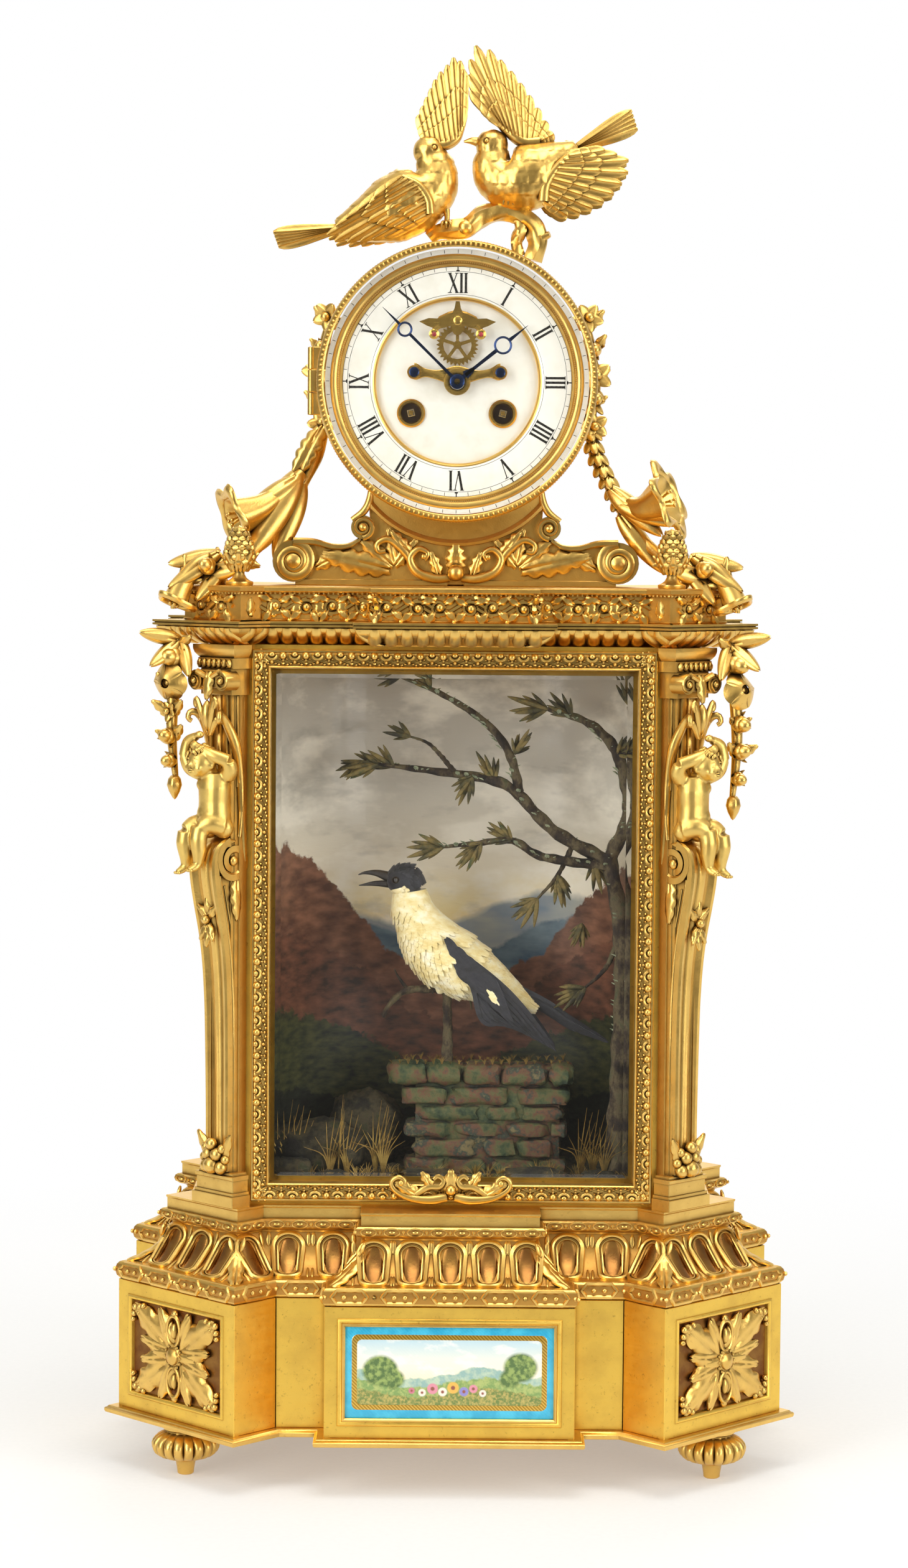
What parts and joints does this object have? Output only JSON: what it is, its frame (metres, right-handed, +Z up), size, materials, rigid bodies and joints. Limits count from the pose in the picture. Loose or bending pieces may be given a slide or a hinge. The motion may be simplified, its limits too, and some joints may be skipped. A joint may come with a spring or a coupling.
{
  "type": "automaton clock",
  "caption": "Gilt bronze automaton mantel clock: glazed canted case with a singing bird scene, drum clock with moon hands on a scroll stand, garlands and birds on top.",
  "frame": {"origin": "centre of the footprint, on the table under the feet", "axes": "+Z up, -Y towards the front with the window and dial, +X to the viewer's right"},
  "size_m": [0.3422, 0.2302, 0.7029],
  "materials": {
    "gilt_bronze": "fire-gilt and burnished",
    "matte_gilt": "fire-gilt, matte ground",
    "dark_bronze": "dark patina",
    "porcelain": "glazed porcelain, turquoise border",
    "enamel": "white vitreous enamel",
    "window_glass": "clear polished",
    "painted_tin": "matte oil paint",
    "rockwork": "painted papier-mache with moss",
    "bark": "matte bark",
    "yellow_feathers": "feathered skin",
    "black_feathers": "feathered skin",
    "horn": "dark horn",
    "brass": "satin brass",
    "bell_metal": "polished bell metal",
    "steel": "polished",
    "blued_steel": "heat blued",
    "wood": "oiled beech"
  },
  "bodies": {
    "clock_case": {"foot_front_left": "gilt_bronze", "foot_front_right": "gilt_bronze", "foot_rear_left": "gilt_bronze", "foot_rear_right": "gilt_bronze", "socle": "gilt_bronze", "leaf_mount_left": "gilt_bronze", "leaf_mount_right": "gilt_bronze", "pilaster_left": "gilt_bronze", "pilaster_right": "gilt_bronze", "cornice": "gilt_bronze", "finial_left": "gilt_bronze", "finial_right": "gilt_bronze", "drum_shell": "gilt_bronze", "perched_branch": "gilt_bronze", "love_bird_left": "gilt_bronze", "love_bird_right": "gilt_bronze", "garland_left": "gilt_bronze", "garland_right": "gilt_bronze", "corner_drop_left": "gilt_bronze", "corner_drop_right": "gilt_bronze", "plinth_shell": "matte_gilt", "putto_left": "matte_gilt", "putto_right": "matte_gilt", "case_body": "matte_gilt", "front_frame": "matte_gilt", "frieze_stage": "matte_gilt", "scroll_stand": "matte_gilt", "sight_ring": "matte_gilt", "base_plate": "dark_bronze", "porcelain_plaque": "porcelain", "dial_ring": "enamel", "dial_centre": "enamel", "front_glass": "window_glass", "painted_backdrop": "painted_tin", "rockwork_ground": "rockwork", "tree": "bark", "perch": "bark", "bird_body": "yellow_feathers", "movement_frame": "brass", "escapement_bridge": "brass", "song_frame": "brass", "bell": "bell_metal"},
    "front_bezel": {"front_bezel": "gilt_bronze", "bezel_glass": "window_glass"},
    "minute_hand": {"minute_hand": "blued_steel"},
    "hour_hand": {"hour_hand": "blued_steel"},
    "escape_wheel": {"escape_wheel": "brass"},
    "pendulum": {"pendulum": "brass"},
    "pallet_anchor": {"pallet_anchor": "brass"},
    "going_barrel": {"going_barrel": "brass"},
    "strike_barrel": {"strike_barrel": "brass"},
    "bell_hammer": {"bell_hammer": "steel"},
    "drum_rear_door": {"drum_rear_door": "matte_gilt"},
    "case_rear_door": {"case_rear_door": "matte_gilt"},
    "bird_head": {"bird_head": "black_feathers"},
    "bird_lower_beak": {"bird_lower_beak": "horn"},
    "bird_tail": {"bird_tail": "black_feathers"},
    "song_barrel": {"song_barrel": "brass"},
    "song_bellows_board": {"song_bellows_board": "wood"},
    "song_button": {"song_button": "brass"}
  },
  "joints": [
    {"name": "bezel_hinge", "type": "hinge", "parent": "clock_case", "child": "front_bezel", "pos_m": [-0.071, -0.04105, 0.5345], "axis": [0, 0, -1], "range_deg": [0, 100]},
    {"name": "minute_turn", "type": "hinge", "parent": "clock_case", "child": "minute_hand", "pos_m": [0, -0.0465, 0.5345], "axis": [0, 1, 0], "continuous": true},
    {"name": "hour_turn", "type": "hinge", "parent": "clock_case", "child": "hour_hand", "pos_m": [0, -0.045, 0.5345], "axis": [0, 1, 0], "continuous": true},
    {"name": "escape_turn", "type": "hinge", "parent": "clock_case", "child": "escape_wheel", "pos_m": [0, -0.041, 0.5525], "axis": [0, 1, 0], "continuous": true},
    {"name": "pendulum_swing", "type": "hinge", "parent": "clock_case", "child": "pendulum", "pos_m": [0, 0.0036, 0.5675], "axis": [0, 1, 0], "range_deg": [-2.5, 2.5]},
    {"name": "anchor_rock", "type": "hinge", "parent": "clock_case", "child": "pallet_anchor", "pos_m": [0, -0.0428, 0.5675], "axis": [0, 1, 0], "range_deg": [-2.5, 2.5]},
    {"name": "going_barrel_turn", "type": "hinge", "parent": "clock_case", "child": "going_barrel", "pos_m": [0.0224, -0.02, 0.5193], "axis": [0, 1, 0], "continuous": true},
    {"name": "strike_barrel_turn", "type": "hinge", "parent": "clock_case", "child": "strike_barrel", "pos_m": [-0.0224, -0.02, 0.5193], "axis": [0, 1, 0], "continuous": true},
    {"name": "hammer_swing", "type": "hinge", "parent": "clock_case", "child": "bell_hammer", "pos_m": [0.03, 0.0172, 0.5565], "axis": [0, -1, 0], "range_deg": [0, 12], "stiffness_Nm_per_rad": 0.005, "springref_deg": -17.19},
    {"name": "drum_door_hinge", "type": "hinge", "parent": "clock_case", "child": "drum_rear_door", "pos_m": [-0.0625, 0.0265, 0.5345], "axis": [0, 0, 1], "range_deg": [0, 110]},
    {"name": "case_door_hinge", "type": "hinge", "parent": "clock_case", "child": "case_rear_door", "pos_m": [-0.0704, 0.0694, 0.2703], "axis": [0, 0, 1], "range_deg": [0, 100]},
    {"name": "head_turn", "type": "hinge", "parent": "clock_case", "child": "bird_head", "pos_m": [-0.0205, -0.02, 0.2787], "axis": [0, 0, 1], "range_deg": [-25, 25]},
    {"name": "beak_move", "type": "hinge", "parent": "bird_head", "child": "bird_lower_beak", "pos_m": [-0.0318, -0.02, 0.2865], "axis": [0, 1, 0], "range_deg": [0, 9]},
    {"name": "tail_move", "type": "hinge", "parent": "clock_case", "child": "bird_tail", "pos_m": [0.0238, -0.02, 0.2377], "axis": [0, 1, 0], "range_deg": [-6, 6], "stiffness_Nm_per_rad": 0.05},
    {"name": "song_barrel_turn", "type": "hinge", "parent": "clock_case", "child": "song_barrel", "pos_m": [-0.036, 0, 0.0554], "axis": [0, 1, 0], "continuous": true},
    {"name": "bellows_board_hinge", "type": "hinge", "parent": "clock_case", "child": "song_bellows_board", "pos_m": [0.006, 0, 0.0427], "axis": [0, -1, 0], "range_deg": [0, 8]},
    {"name": "start_button_push", "type": "slide", "parent": "clock_case", "child": "song_button", "axis": [0, -1, 0], "range_m": [0, 0.003], "stiffness_N_per_m": 300}
  ],
  "couplings": [
    {"joint": "hour_turn", "follows": "minute_turn", "ratio": 0.083333},
    {"joint": "anchor_rock", "follows": "pendulum_swing", "ratio": 1}
  ]
}
